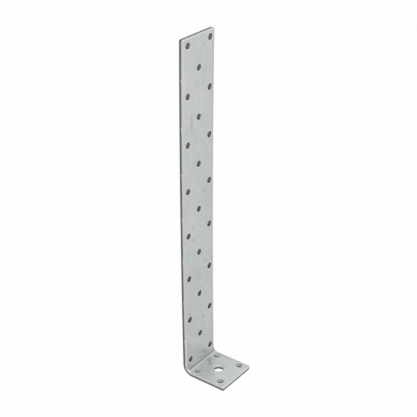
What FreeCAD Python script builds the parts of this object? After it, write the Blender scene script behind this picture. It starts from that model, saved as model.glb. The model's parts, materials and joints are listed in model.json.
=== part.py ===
import FreeCAD, Part
import math
import os

import Sketcher

# An anchor angle bracket: one strip of thick galvanised sheet, punched with nail holes and
# one anchor hole, cut to length and folded once into a tall leg and a short flange.
# The frame: the origin is on the anchor axis at the underside of the flange, X runs across
# the strip, the leg stands at +Y and rises along +Z, and the flange reaches towards -Y.

BRACKET_NAME = "angle_bracket"

# Driving sizes in millimetres: name, value, what it measures.
DRIVING_SIZES = (
    ("sheet_thickness", 4.0, "thickness of the strip"),
    ("sheet_width", 38.5, "width of the strip"),
    ("leg_height", 298.6, "underside of the flange to the top of the leg"),
    ("anchor_setback", 24.0, "anchor axis to the outer face of the leg"),
    ("flange_reach", 19.0, "anchor axis to the free end of the flange"),
    ("bend_radius", 4.5, "inside radius of the fold"),
    ("corner_radius", 0.8, "rounding of the four free corners"),
    ("edge_roll_radius", 0.6, "rounding that the shear leaves round the inner face"),
    ("anchor_hole_diameter", 9.0, "bore for the anchor bolt"),
    ("nail_hole_diameter", 5.0, "bore for a nail"),
    ("mouth_bevel", 0.4, "bevel that the punch leaves round each hole"),
    ("nail_edge_distance", 5.5, "nail axis to the nearest long edge, and least to the top"),
    ("nail_end_distance", 6.9, "outer flange nails to the free end"),
    ("nail_fold_distance", 3.4, "inner flange nails to the start of the fold"),
    ("first_pair_rise", 4.5, "lowest pair of leg nails above the end of the fold"),
    ("pair_pitch", 40.0, "from one pair of leg nails to the next"),
    ("centre_nail_rise", 19.5, "each centre nail above the pair below it"),
)

# Places worked out from the driving sizes, as expressions of the sheet.
OUTER_BEND_RADIUS = "(sizes.bend_radius + sizes.sheet_thickness)"
COLUMN_OFFSET = "(sizes.sheet_width / 2 - sizes.nail_edge_distance)"
FIRST_PAIR_HEIGHT = f"({OUTER_BEND_RADIUS} + sizes.first_pair_rise)"
FIRST_CENTRE_HEIGHT = f"({FIRST_PAIR_HEIGHT} + sizes.centre_nail_rise)"
OUTER_ROW_OFFSET = "(sizes.flange_reach - sizes.nail_end_distance)"
INNER_ROW_OFFSET = f"(sizes.anchor_setback - {OUTER_BEND_RADIUS} - sizes.nail_fold_distance)"
NAILED_HEIGHT = "(sizes.leg_height - sizes.nail_edge_distance)"
PAIR_COUNT = f"floor(({NAILED_HEIGHT} - {FIRST_PAIR_HEIGHT}) / sizes.pair_pitch) + 1"
CENTRE_COUNT = f"floor(({NAILED_HEIGHT} - {FIRST_CENTRE_HEIGHT}) / sizes.pair_pitch) + 1"

# Sketcher counts its own axes down from -1 and the points of an element up from 1.
HORIZONTAL_AXIS, VERTICAL_AXIS = range(-1, -3, -1)
START, END, CENTRE = range(1, 4)
ORIGIN_POINT = (HORIZONTAL_AXIS, START)

# Shapes are compared to this many millimetres, volumes to this share.
SAME_PLACE = 1e-4
SAME_VOLUME = 1e-3


def make_sheet(doc):
    """Write the driving sizes into a spreadsheet, one aliased row each."""
    sheet = doc.addObject("Spreadsheet::Sheet", "sizes")
    for row, (name, value, meaning) in enumerate(DRIVING_SIZES, start=1):
        sheet.set(f"A{row}", meaning)
        sheet.set(f"B{row}", str(value))
        sheet.setAlias(f"B{row}", name)
    doc.recompute()
    return sheet


def origin_feature(body, role):
    """The body's own origin plane or axis with the given role."""
    return next(item for item in body.Origin.OriginFeatures if item.Role == role)


def new_sketch(body, name, plane_role):
    """An empty sketch on one of the body's origin planes."""
    sketch = body.newObject("Sketcher::SketchObject", name)
    sketch.AttachmentSupport = [(origin_feature(body, plane_role), "")]
    sketch.MapMode = "FlatFace"
    return sketch


def bind(sketch, kind, elements, value, expression):
    """Add one dimension to a sketch and tie it to the sheet."""
    index = sketch.addConstraint(Sketcher.Constraint(kind, *elements, value))
    sketch.setExpression(f"Constraints[{index}]", expression)


def relate(sketch, kind, *elements):
    """Add one relation without a size to a sketch."""
    sketch.addConstraint(Sketcher.Constraint(kind, *elements))


def draw_section(sketch, sheet):
    """The L-shaped section of the folded strip: straight legs joined by two arcs."""
    thickness = sheet.sheet_thickness
    inner_radius = sheet.bend_radius
    outer_radius = inner_radius + thickness
    outer_face = sheet.anchor_setback
    inner_face = outer_face - thickness
    free_end = -sheet.flange_reach
    top = sheet.leg_height
    fold_start = outer_face - outer_radius

    def line(first, last):
        segment = Part.LineSegment(FreeCAD.Vector(*first, 0), FreeCAD.Vector(*last, 0))
        return sketch.addGeometry(segment)

    def quarter_arc(radius):
        centre = FreeCAD.Vector(fold_start, outer_radius, 0)
        circle = Part.Circle(centre, FreeCAD.Vector(0, 0, 1), radius)
        return sketch.addGeometry(Part.ArcOfCircle(circle, -math.pi / 2, 0))

    underside = line((free_end, 0), (fold_start, 0))
    outer_arc = quarter_arc(outer_radius)
    outer_leg = line((outer_face, outer_radius), (outer_face, top))
    top_edge = line((outer_face, top), (inner_face, top))
    inner_leg = line((inner_face, top), (inner_face, outer_radius))
    inner_arc = quarter_arc(inner_radius)
    upper_face = line((fold_start, thickness), (free_end, thickness))
    end_edge = line((free_end, thickness), (free_end, 0))

    relate(sketch, "Tangent", underside, END, outer_arc, START)
    relate(sketch, "Tangent", outer_arc, END, outer_leg, START)
    relate(sketch, "Coincident", outer_leg, END, top_edge, START)
    relate(sketch, "Coincident", top_edge, END, inner_leg, START)
    relate(sketch, "Tangent", inner_leg, END, inner_arc, END)
    relate(sketch, "Tangent", inner_arc, START, upper_face, START)
    relate(sketch, "Coincident", upper_face, END, end_edge, START)
    relate(sketch, "Coincident", end_edge, END, underside, START)
    relate(sketch, "Coincident", outer_arc, CENTRE, inner_arc, CENTRE)
    for level in (underside, top_edge, upper_face):
        relate(sketch, "Horizontal", level)
    for upright in (outer_leg, inner_leg, end_edge):
        relate(sketch, "Vertical", upright)
    relate(sketch, "PointOnObject", underside, START, HORIZONTAL_AXIS)

    bind(sketch, "Radius", (inner_arc,), inner_radius, "sizes.bend_radius")
    bind(sketch, "DistanceX", (top_edge, END, top_edge, START), thickness, "sizes.sheet_thickness")
    bind(sketch, "DistanceX", (*ORIGIN_POINT, outer_leg, END), outer_face, "sizes.anchor_setback")
    bind(sketch, "DistanceX", (underside, START, *ORIGIN_POINT), -free_end, "sizes.flange_reach")
    bind(sketch, "DistanceY", (*ORIGIN_POINT, outer_leg, END), top, "sizes.leg_height")


def draw_circle(sketch, across, along, diameter, diameter_expression):
    """A circle with its diameter tied to the sheet."""
    centre = FreeCAD.Vector(across, along, 0)
    circle = sketch.addGeometry(Part.Circle(centre, FreeCAD.Vector(0, 0, 1), diameter / 2))
    bind(sketch, "Diameter", (circle,), diameter, diameter_expression)
    return circle


def draw_nail_pair(sketch, sheet, along, along_expression):
    """Two nail holes, mirrored across the strip, at a height along the sketch's vertical."""
    column = sheet.sheet_width / 2 - sheet.nail_edge_distance
    diameter = sheet.nail_hole_diameter
    right = draw_circle(sketch, column, along, diameter, "sizes.nail_hole_diameter")
    left_centre = FreeCAD.Vector(-column, along, 0)
    left = sketch.addGeometry(Part.Circle(left_centre, FreeCAD.Vector(0, 0, 1), diameter / 2))
    relate(sketch, "Equal", right, left)
    relate(sketch, "Symmetric", right, CENTRE, left, CENTRE, VERTICAL_AXIS)
    bind(sketch, "DistanceX", (*ORIGIN_POINT, right, CENTRE), column, COLUMN_OFFSET)
    if along > 0:
        bind(sketch, "DistanceY", (*ORIGIN_POINT, right, CENTRE), along, along_expression)
    else:
        bind(sketch, "DistanceY", (right, CENTRE, *ORIGIN_POINT), -along, along_expression)


def fold_strip(doc, body, sheet):
    """The folded strip as a plain L, the full width of the sheet."""
    section = new_sketch(body, "strip_section", "YZ_Plane")
    draw_section(section, sheet)
    strip = body.newObject("PartDesign::Pad", "folded_strip")
    strip.Profile = section
    strip.SideType = "Symmetric"
    strip.setExpression("Length", "sizes.sheet_width")
    doc.recompute()
    return strip


def round_corners(doc, body, strip, sheet):
    """Round the four free corners, which run through the thickness of the sheet."""
    half_width = sheet.sheet_width / 2
    corners = []
    for number, edge in enumerate(strip.Shape.Edges, start=1):
        middle = edge.CenterOfMass
        at_side = abs(abs(middle.x) - half_width) < SAME_PLACE
        at_top = abs(edge.BoundBox.ZMin - sheet.leg_height) < SAME_PLACE
        at_end = abs(edge.BoundBox.YMax + sheet.flange_reach) < SAME_PLACE
        if at_side and (at_top or at_end):
            corners.append(f"Edge{number}")
    rounded = body.newObject("PartDesign::Fillet", "rounded_corners")
    rounded.Base = (strip, corners)
    rounded.setExpression("Radius", "sizes.corner_radius")
    doc.recompute()
    return rounded


def punch(doc, body, name, sketch, reversed_cut):
    """Cut the circles of a sketch right through the sheet."""
    cut = body.newObject("PartDesign::Pocket", name)
    cut.Profile = sketch
    cut.Type = "ThroughAll"
    cut.Reversed = reversed_cut
    doc.recompute()
    return cut


def repeat_up_leg(doc, body, name, cut, count_expression):
    """Repeat a cut up the leg at the pitch of the nail pairs."""
    pattern = body.newObject("PartDesign::LinearPattern", name)
    pattern.Originals = [cut]
    pattern.Direction = (origin_feature(body, "Z_Axis"), [""])
    pattern.Mode = "Spacing"
    pattern.setExpression("Offset", "sizes.pair_pitch")
    pattern.setExpression("Occurrences", count_expression)
    body.Tip = pattern
    doc.recompute()
    return pattern


def punch_leg(doc, body, sheet):
    """Pairs of nail holes up the leg, with one centre hole between each two pairs."""
    first_pair_height = sheet.bend_radius + sheet.sheet_thickness + sheet.first_pair_rise
    pair_sketch = new_sketch(body, "lowest_pair", "XZ_Plane")
    draw_nail_pair(pair_sketch, sheet, first_pair_height, FIRST_PAIR_HEIGHT)
    pair_cut = punch(doc, body, "lowest_pair_holes", pair_sketch, False)
    pairs = repeat_up_leg(doc, body, "pair_holes", pair_cut, PAIR_COUNT)

    first_centre_height = first_pair_height + sheet.centre_nail_rise
    centre_sketch = new_sketch(body, "lowest_centre", "XZ_Plane")
    hole = draw_circle(centre_sketch, 0, first_centre_height, sheet.nail_hole_diameter,
                       "sizes.nail_hole_diameter")
    relate(centre_sketch, "PointOnObject", hole, CENTRE, VERTICAL_AXIS)
    bind(centre_sketch, "DistanceY", (*ORIGIN_POINT, hole, CENTRE), first_centre_height,
         FIRST_CENTRE_HEIGHT)
    centre_cut = punch(doc, body, "lowest_centre_hole", centre_sketch, False)
    centres = repeat_up_leg(doc, body, "centre_holes", centre_cut, CENTRE_COUNT)
    return 2 * pairs.Occurrences + centres.Occurrences


def punch_flange(doc, body, sheet):
    """Four nail holes round the anchor hole, which is on the origin."""
    outer_row = -(sheet.flange_reach - sheet.nail_end_distance)
    outer_bend_radius = sheet.bend_radius + sheet.sheet_thickness
    inner_row = sheet.anchor_setback - outer_bend_radius - sheet.nail_fold_distance
    sketch = new_sketch(body, "flange_holes", "XY_Plane")
    anchor = draw_circle(sketch, 0, 0, sheet.anchor_hole_diameter, "sizes.anchor_hole_diameter")
    relate(sketch, "Coincident", anchor, CENTRE, *ORIGIN_POINT)
    draw_nail_pair(sketch, sheet, outer_row, OUTER_ROW_OFFSET)
    draw_nail_pair(sketch, sheet, inner_row, INNER_ROW_OFFSET)
    return punch(doc, body, "flange_hole_cut", sketch, True)


def is_inner_face(face, sheet):
    """True for the faces on the inside of the angle: upper flange, inner leg and fold."""
    surface = face.Surface
    if isinstance(surface, Part.Cylinder):
        along_x = abs(surface.Axis.x) > 1 - SAME_PLACE
        return along_x and abs(surface.Radius - sheet.bend_radius) < SAME_PLACE
    box = face.BoundBox
    upper_flange = abs(box.ZMin - sheet.sheet_thickness) < SAME_PLACE and box.ZLength < SAME_PLACE
    inner_leg_place = sheet.anchor_setback - sheet.sheet_thickness
    inner_leg = abs(box.YMin - inner_leg_place) < SAME_PLACE and box.YLength < SAME_PLACE
    return upper_flange or inner_leg


def inner_rim_edges(shape, sheet):
    """Edges round the inside of the angle: those of its outline and those of hole mouths."""
    inner_faces = [face for face in shape.Faces if is_inner_face(face, sheet)]
    outline, mouths = [], []
    for number, edge in enumerate(shape.Edges, start=1):
        owners = [face for face in inner_faces if any(edge.isSame(rim) for rim in face.Edges)]
        if len(owners) != 1:
            continue
        names = mouths if edge.isClosed() else outline
        names.append(f"Edge{number}")
    return outline, mouths


def ease_rims(doc, body, base, sheet):
    """Ease the inside rims, where the tools drew the sheet in before they cut it."""
    outline, _ = inner_rim_edges(base.Shape, sheet)
    rolled_outline = body.newObject("PartDesign::Fillet", "rolled_outline")
    rolled_outline.Base = (base, outline)
    rolled_outline.setExpression("Radius", "sizes.edge_roll_radius")
    doc.recompute()
    _, mouths = inner_rim_edges(rolled_outline.Shape, sheet)
    bevelled_mouths = body.newObject("PartDesign::Chamfer", "bevelled_mouths")
    bevelled_mouths.Base = (rolled_outline, mouths)
    bevelled_mouths.setExpression("Size", "sizes.mouth_bevel")
    doc.recompute()
    return len(mouths)


def check_holes(before, after, leg_holes, sheet):
    """Stop if the holes took away more or less than their own volume."""
    nail_area = math.pi * sheet.nail_hole_diameter**2 / 4
    anchor_area = math.pi * sheet.anchor_hole_diameter**2 / 4
    flange_nails = 4
    expected = ((leg_holes + flange_nails) * nail_area + anchor_area) * sheet.sheet_thickness
    removed = before.Volume - after.Volume
    if abs(removed - expected) > SAME_VOLUME * expected:
        raise RuntimeError(f"holes removed {removed:.1f} mm3, not {expected:.1f} mm3")


def check_document(doc, body):
    """Stop if a feature failed or the bracket is not one sound solid."""
    for item in doc.Objects:
        if {"Invalid", "Error"} & set(item.State):
            raise RuntimeError(f"{item.Name} failed: {item.State}")
    shape = body.Shape
    if shape.isNull() or not shape.isValid() or len(shape.Solids) != 1:
        raise RuntimeError(f"{body.Label} is not one sound solid")


def build_bracket(doc, sheet):
    """Fold, round and punch the strip, ease its inside rims, and return its body."""
    body = doc.addObject("PartDesign::Body", BRACKET_NAME)
    body.Label = BRACKET_NAME
    strip = fold_strip(doc, body, sheet)
    rounded = round_corners(doc, body, strip, sheet)
    leg_holes = punch_leg(doc, body, sheet)
    punched = punch_flange(doc, body, sheet)
    check_holes(rounded.Shape, punched.Shape, leg_holes, sheet)
    mouths = ease_rims(doc, body, punched, sheet)
    check_document(doc, body)
    print(f"{body.Label}: {leg_holes} holes in the leg, {mouths} hole mouths bevelled")
    return body


def main():
    """Build the bracket and write its solid."""
    doc = FreeCAD.newDocument("anchor_angle_bracket")
    sheet = make_sheet(doc)
    body = build_bracket(doc, sheet)
    os.makedirs("parts", exist_ok=True)
    body.Shape.exportStep(os.path.join("parts", f"{body.Label}.step"))
    box = body.Shape.optimalBoundingBox()
    print(f"{box.XLength:.2f} x {box.YLength:.2f} x {box.ZLength:.2f} mm, {body.Shape.Volume:.1f} mm3")


main()
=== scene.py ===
"""Dressed anchor angle bracket: a punched, sheared and folded strip of galvanised sheet.

The strip is laid out flat as its blank, with the section that a shear and a punch leave on every cut. It is
then folded, finished as dull zinc with bare broken edges, and stood on a pale studio floor.
Flat coordinates: X across the strip, Y along it from the start of the fold up to the leg's top, and Z out of
the struck face, which ends up inside the angle.
"""

import json
import logging
import math
from dataclasses import dataclass, replace
from enum import Enum
from typing import Sequence

import bmesh
import bpy
from mathutils import Euler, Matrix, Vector, noise
from mathutils.geometry import delaunay_2d_cdt


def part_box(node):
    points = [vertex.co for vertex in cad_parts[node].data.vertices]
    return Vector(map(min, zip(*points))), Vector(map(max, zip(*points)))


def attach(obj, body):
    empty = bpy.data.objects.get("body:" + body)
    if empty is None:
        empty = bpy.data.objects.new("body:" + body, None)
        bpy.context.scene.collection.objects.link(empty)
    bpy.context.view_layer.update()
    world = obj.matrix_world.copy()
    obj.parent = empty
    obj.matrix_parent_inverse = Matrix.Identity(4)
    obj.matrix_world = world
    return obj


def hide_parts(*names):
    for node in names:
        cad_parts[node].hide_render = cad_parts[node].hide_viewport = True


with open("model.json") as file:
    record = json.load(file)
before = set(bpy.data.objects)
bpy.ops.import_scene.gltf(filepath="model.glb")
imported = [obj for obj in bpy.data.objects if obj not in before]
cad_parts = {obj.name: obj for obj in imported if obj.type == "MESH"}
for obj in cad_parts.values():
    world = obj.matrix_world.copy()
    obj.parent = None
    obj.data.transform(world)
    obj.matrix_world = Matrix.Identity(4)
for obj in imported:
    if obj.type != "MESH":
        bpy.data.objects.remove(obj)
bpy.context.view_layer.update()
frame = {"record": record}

MM = 0.001
QUARTER_TURN = math.radians(90.0)
NODE = "angle_bracket"
PIECE = "galvanised_angle"
BODY = "root"
FLAT_PLACE = "flat_place"
CUT_NEARNESS = "cut_nearness"
RIM_WAY = "rim_way"
WHITE = (1.0, 1.0, 1.0, 1.0)
ARCH_SCALE = 4.0
ARCH_MEAN = ARCH_SCALE / 6.0
NOISE_MEAN = 0.5
INSIDE_WITH_HOLES = 2
NEAR = 1e-6

log = logging.getLogger("bracket")
Socket = bpy.types.NodeSocket
Colour = tuple[float, float, float]


class Number:
    """A number in a node tree, which joins in sums as a plain one does."""

    def __init__(self, graph: "Graph", socket: Socket) -> None:
        """Keep the tree and the socket that gives the number."""
        self.graph = graph
        self.socket = socket

    def __add__(self, other: "Feed") -> "Number":
        """Return the sum."""
        return self.graph.math("ADD", self, other)

    def __sub__(self, other: "Feed") -> "Number":
        """Return the difference."""
        return self.graph.math("SUBTRACT", self, other)

    def __rsub__(self, other: float) -> "Number":
        """Return the difference from a plain number."""
        return self.graph.math("SUBTRACT", other, self)

    def __mul__(self, other: "Feed") -> "Number":
        """Return the product."""
        return self.graph.math("MULTIPLY", self, other)

    def __truediv__(self, other: "Feed") -> "Number":
        """Return the quotient."""
        return self.graph.math("DIVIDE", self, other)

    def __abs__(self) -> "Number":
        """Return the number without its sign."""
        return self.graph.math("ABSOLUTE", self)

    __radd__ = __add__
    __rmul__ = __mul__


Feed = Number | Socket | bpy.types.ID | float | int | str | bool | Sequence[float]
Feeds = dict[str | int, Feed]


class Graph:
    """Writes the nodes of one tree."""

    def __init__(self, tree: bpy.types.NodeTree) -> None:
        """Empty the tree and keep it."""
        self.tree = tree
        tree.nodes.clear()

    def node(self, kind: str, feeds: Feeds | None = None, **settings: object) -> bpy.types.Node:
        """Add a node.

        Args:
            kind: Blender's name for the kind of node.
            feeds: what is linked to its inputs or set on them, by their names or places.
            settings: the node's own properties.

        Returns:
            The node.
        """
        made = self.tree.nodes.new(kind)
        for name, value in settings.items():
            setattr(made, name, value)
        for key, value in (feeds or {}).items():
            source = value.socket if isinstance(value, Number) else value
            if isinstance(source, Socket):
                self.tree.links.new(source, made.inputs[key])
            else:
                made.inputs[key].default_value = source
        return made

    def number(self, kind: str, feeds: Feeds | None = None, gives: str | int = 0,
               **settings: object) -> Number:
        """Add a node and return the number that one of its outputs gives."""
        return Number(self, self.node(kind, feeds, **settings).outputs[gives])

    def math(self, operation: str, *values: Feed) -> Number:
        """Work out one number from others."""
        return self.number("ShaderNodeMath", dict(enumerate(values)), operation=operation)

    def least(self, one: Feed, other: Feed) -> Number:
        """Return the smaller of two numbers."""
        return self.math("MINIMUM", one, other)

    def most(self, one: Feed, other: Feed) -> Number:
        """Return the larger of two numbers."""
        return self.math("MAXIMUM", one, other)

    def join(self, x: Feed, y: Feed, z: Feed) -> Socket:
        """Make a vector of three numbers."""
        return self.node("ShaderNodeCombineXYZ", {0: x, 1: y, 2: z}).outputs[0]

    def split(self, vector: Socket) -> list[Number]:
        """Take a vector's three numbers apart."""
        return [Number(self, part) for part in self.node("ShaderNodeSeparateXYZ", {0: vector}).outputs]


@dataclass(frozen=True)
class Ramp:
    """Two values between which a mask rises smoothly from 0 to its peak. The second may be the lower."""

    start: float
    full: float
    peak: float = 1.0

    def of(self, value: Number) -> Number:
        """Return the mask of a number."""
        feeds = {"Value": value, "From Min": self.start, "From Max": self.full, "To Max": self.peak}
        return value.graph.number("ShaderNodeMapRange", feeds, interpolation_type="SMOOTHSTEP")


class GeometryGraph(Graph):
    """Writes a Geometry Nodes tree with named inputs, and puts it on a piece."""

    SOCKETS = ((float, "NodeSocketFloat"), (int, "NodeSocketInt"), (bpy.types.Object, "NodeSocketObject"),
               (bpy.types.Material, "NodeSocketMaterial"))

    def __init__(self, name: str, values: dict[str, object]) -> None:
        """Start a tree that takes and gives a geometry.

        Args:
            name: the tree's name.
            values: what its other inputs are set to, by their names.
        """
        super().__init__(bpy.data.node_groups.new(name, "GeometryNodeTree"))
        interface = self.tree.interface
        for way in ("INPUT", "OUTPUT"):
            interface.new_socket("Geometry", in_out=way, socket_type="NodeSocketGeometry")
        self.values = {}
        for label, value in values.items():
            kind = next(kind for holds, kind in self.SOCKETS if isinstance(value, holds))
            made = interface.new_socket(label, in_out="INPUT", socket_type=kind)
            self.values[made.identifier] = value
        self.inputs = self.node("NodeGroupInput").outputs

    def given(self, name: str) -> Number:
        """Return an input's number."""
        return Number(self, self.inputs[name])

    def shape(self, kind: str, feeds: Feeds | None = None, **settings: object) -> Socket:
        """Add a node and return the geometry that it makes."""
        return self.node(kind, feeds, **settings).outputs[0]

    def together(self, *shapes: Socket) -> Socket:
        """Join several geometries.

        Args:
            shapes: the geometries.

        Returns:
            One geometry.
        """
        joined = self.node("GeometryNodeJoinGeometry")
        for shape in shapes:
            self.tree.links.new(shape, joined.inputs[0])
        return joined.outputs[0]

    def put_on(self, piece: bpy.types.Object, shape: Socket) -> None:
        """Send a geometry out of the tree, and put the tree on a piece as a modifier with its inputs set.

        Args:
            piece: the object that the tree works on.
            shape: the geometry that the tree gives.
        """
        self.node("NodeGroupOutput", {0: shape})
        modifier = piece.modifiers.new(self.tree.name, "NODES")
        modifier.node_group = self.tree
        for identifier, value in self.values.items():
            modifier[identifier] = value


@dataclass(frozen=True)
class SectionPoint:
    """One point of a cut's section: how far it lies in from the cut, and how deep under the struck face.

    Its share in the broken band says how much the shear's marks and the tearing move it.
    """

    inset: float
    depth: float
    broken: float = 0.0

    def toward(self, other: "SectionPoint", share: float) -> "SectionPoint":
        """Return the point that lies a share of the way to another section's point."""
        pairs = zip((self.inset, self.depth, self.broken), (other.inset, other.depth, other.broken))
        return SectionPoint(*(mine + (theirs - mine) * share for mine, theirs in pairs))


@dataclass(frozen=True)
class CutSection:
    """Section of a sheared or punched wall, from the struck face down to the far one.

    The tool first draws the rim in, then shears a smooth band, and the rest breaks off and leans back.
    """

    thickness: float
    roll_width: float
    roll_depth: float
    smooth_depth: float = 1.85 * MM
    lean: float = 0.14 * MM
    nip: float = 0.07 * MM
    bulge: float = 0.0
    border: float = 1.3 * MM
    roll_steps: int = 6
    broken_steps: int = 4
    line_broken: float = 0.6
    foot_broken: float = 0.3

    def points(self) -> list[SectionPoint]:
        """Work the section out.

        Returns:
            Its points, from the struck face to the far one.
        """
        made = [SectionPoint(self.border, 0.0)]
        for step in range(self.roll_steps + 1):
            turn = QUARTER_TURN * step / self.roll_steps
            made.append(SectionPoint(self.roll_width * (1.0 - math.sin(turn)) - self.bulge,
                                     self.roll_depth * (1.0 - math.cos(turn))))
        made.append(SectionPoint(-self.bulge, self.smooth_depth, self.line_broken))
        foot = self.thickness - self.nip
        for step in range(1, self.broken_steps + 1):
            share = step / self.broken_steps
            depth = self.smooth_depth + share * (foot - self.smooth_depth)
            back = (self.lean + self.bulge) * share - self.bulge
            made.append(SectionPoint(back, depth, 1.0 if share < 1.0 else self.foot_broken))
        made.append(SectionPoint(self.lean + self.nip, self.thickness))
        made.append(SectionPoint(self.border, self.thickness))
        return made

    def curve(self, name: str) -> bpy.types.Object:
        """Draw the section as a curve that runs up to the struck face.

        Args:
            name: the curve's name.

        Returns:
            The curve, with X in from the cut and Y down from the struck face.
        """
        data = bpy.data.curves.new(name, "CURVE")
        data.dimensions = "3D"
        spline = data.splines.new("POLY")
        points = self.points()[::-1]
        spline.points.add(len(points) - 1)
        for target, point in zip(spline.points, points):
            target.co = (point.inset, point.depth, 0.0, 1.0)
        made = bpy.data.objects.new(name, data)
        bpy.context.scene.collection.objects.link(made)
        return made


@dataclass(frozen=True)
class Crease:
    """The line that the nose of the press tool leaves inside the fold, with flattened flanks on both sides.

    It lies at a share of the fold, counted from the flange. Its groove starts a little in from the left rim.
    """

    share: float = 0.485
    flank_depth: float = 0.45 * MM
    groove_depth: float = 0.25 * MM
    groove_half_width: float = 0.75 * MM
    left: Ramp = Ramp(-17.6 * MM, -16.6 * MM)
    row_steps: tuple[float, ...] = (-1.0, -0.5, 0.0, 0.5, 1.0)
    row_gap: float = 1.2


@dataclass(frozen=True)
class Fold:
    """The right-angled fold between the flange and the leg, and the bow that the strip keeps from its coil.

    The leg arches between the fold and its top. The fold lies in by the arch's mean, so that the bowed leg
    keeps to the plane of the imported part's leg on the whole.
    """

    flat_leg_start: float
    thickness: float
    inner_radius: float
    leg_length: float
    bow: float = 1.05 * MM
    crease: Crease = Crease()
    unstretched_share: float = 0.42
    sharp_angle: float = 28.0
    steps: int = 14

    @property
    def start(self) -> float:
        """Place along the flange where the fold starts."""
        return self.flat_leg_start - ARCH_MEAN * self.bow

    @property
    def length(self) -> float:
        """Length of the blank that goes into the fold."""
        return QUARTER_TURN * (self.inner_radius + self.unstretched_share * self.thickness)

    @property
    def crease_place(self) -> float:
        """Flat place of the crease."""
        return self.crease.share * self.length

    def rows(self) -> list[float]:
        """Space the mesh's rows in the fold, closer ones along the crease.

        Returns:
            The flat places of the rows, in order.
        """
        reach = self.crease.groove_half_width
        close = [self.crease_place + reach * step for step in self.crease.row_steps]
        even = [self.length * step / self.steps for step in range(self.steps)]
        clear = self.crease.row_gap * reach
        return sorted(close + [place for place in even if abs(place - self.crease_place) > clear])

    def along_flange(self, y: float) -> float:
        """Return the flat place of a point of the flange."""
        return y - self.start

    def along_leg(self, z: float) -> float:
        """Return the flat place of a point of the leg."""
        return self.length + z - self.thickness - self.inner_radius

    def bend(self, piece: bpy.types.Object, finish: bpy.types.Material) -> None:
        """Put the tree on a flat blank that folds it, finishes it and remembers where each point lay.

        Args:
            piece: the flat blank.
            finish: the sheet's material.
        """
        graph = GeometryGraph("fold_blank", self._values(finish))
        place = graph.node("GeometryNodeInputPosition").outputs[0]
        kept = graph.shape("GeometryNodeStoreNamedAttribute",
                           {"Geometry": graph.inputs["Geometry"], "Name": FLAT_PLACE, "Value": place},
                           data_type="FLOAT_VECTOR", domain="POINT")
        folded = graph.shape("GeometryNodeSetPosition",
                             {"Geometry": kept, "Position": self._folded(graph, *graph.split(place))})
        soft = graph.shape("GeometryNodeSetShadeSmooth",
                           {"Geometry": folded, "Shade Smooth": True}, domain="FACE")
        angle = graph.number("GeometryNodeInputMeshEdgeAngle")
        sharp = graph.math("GREATER_THAN", angle, graph.given("Sharp Angle"))
        crisp = graph.shape("GeometryNodeSetShadeSmooth",
                            {"Geometry": soft, "Selection": sharp, "Shade Smooth": False}, domain="EDGE")
        single = graph.shape("GeometryNodeRealizeInstances", {"Geometry": crisp})
        dressed = graph.shape("GeometryNodeSetMaterial",
                              {"Geometry": single, "Material": graph.inputs["Finish"]})
        graph.put_on(piece, dressed)

    def _folded(self, graph: GeometryGraph, across: Number, along: Number, height: Number) -> Socket:
        """Work out where the fold and the bow bring a point of the blank.

        Args:
            graph: the folding tree.
            across: place across the strip.
            along: place along the strip.
            height: place above the struck face, so that the sheet's own points lie below 0.

        Returns:
            The folded place.
        """
        names = ("Fold Length", "Sheet Thickness", "Inner Radius")
        length, thickness, inner = (graph.given(name) for name in names)
        share = graph.number("ShaderNodeClamp", {"Value": along / length})
        turn = share * QUARTER_TURN
        struck = height / thickness + 1.0
        radius = self._pressed(graph, across, along, share) * struck + (inner - height)
        before = graph.least(along, 0.0)
        after = graph.most(along - length, 0.0)
        climbed = after / graph.given("Leg Length")
        arch = climbed * ARCH_SCALE * (1.0 - climbed)
        bowed = arch * graph.given("Leg Bow") + (graph.given("Fold Start") + before)
        out = radius * graph.math("SINE", turn) + bowed
        up = (thickness + inner) - radius * graph.math("COSINE", turn) + after
        return graph.join(across, out, up)

    @staticmethod
    def _pressed(graph: GeometryGraph, across: Number, along: Number, share: Number) -> Number:
        """Work out how deep the press tool's nose has pushed the struck face in.

        Args:
            graph: the folding tree.
            across: place across the strip.
            along: place along the strip.
            share: how far through the fold the place is, from 0 to 1.

        Returns:
            The depth of the flanks and the groove together.
        """
        crease = graph.given("Crease Share")
        tent = graph.least(share / crease, (1.0 - share) / (1.0 - crease))
        off = abs(along - crease * graph.given("Fold Length"))
        nose = graph.most(1.0 - off / graph.given("Groove Half Width"), 0.0)
        started = graph.number("ShaderNodeMapRange",
                               {"Value": across, "From Min": graph.given("Groove Start"),
                                "From Max": graph.given("Groove Full")})
        return tent * tent * graph.given("Flank Depth") + nose * started * graph.given("Groove Depth")

    def _values(self, finish: bpy.types.Material) -> dict[str, object]:
        """List the inputs of the folding tree.

        Args:
            finish: the sheet's material.

        Returns:
            The inputs, by name.
        """
        crease = self.crease
        return {"Fold Start": self.start, "Fold Length": self.length, "Inner Radius": self.inner_radius,
                "Sheet Thickness": self.thickness, "Leg Length": self.leg_length, "Leg Bow": self.bow,
                "Crease Share": crease.share, "Flank Depth": crease.flank_depth,
                "Groove Depth": crease.groove_depth, "Groove Half Width": crease.groove_half_width,
                "Groove Start": crease.left.start, "Groove Full": crease.left.full,
                "Sharp Angle": math.radians(self.sharp_angle), "Finish": finish}


@dataclass(frozen=True)
class HoleRow:
    """Evenly spaced holes in one line along the strip."""

    across: float
    first: float
    pitch: float
    count: int

    def centres(self) -> list[Vector]:
        """Return the middles of the holes, in the blank."""
        return [Vector((self.across, self.first + self.pitch * number)) for number in range(self.count)]


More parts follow.
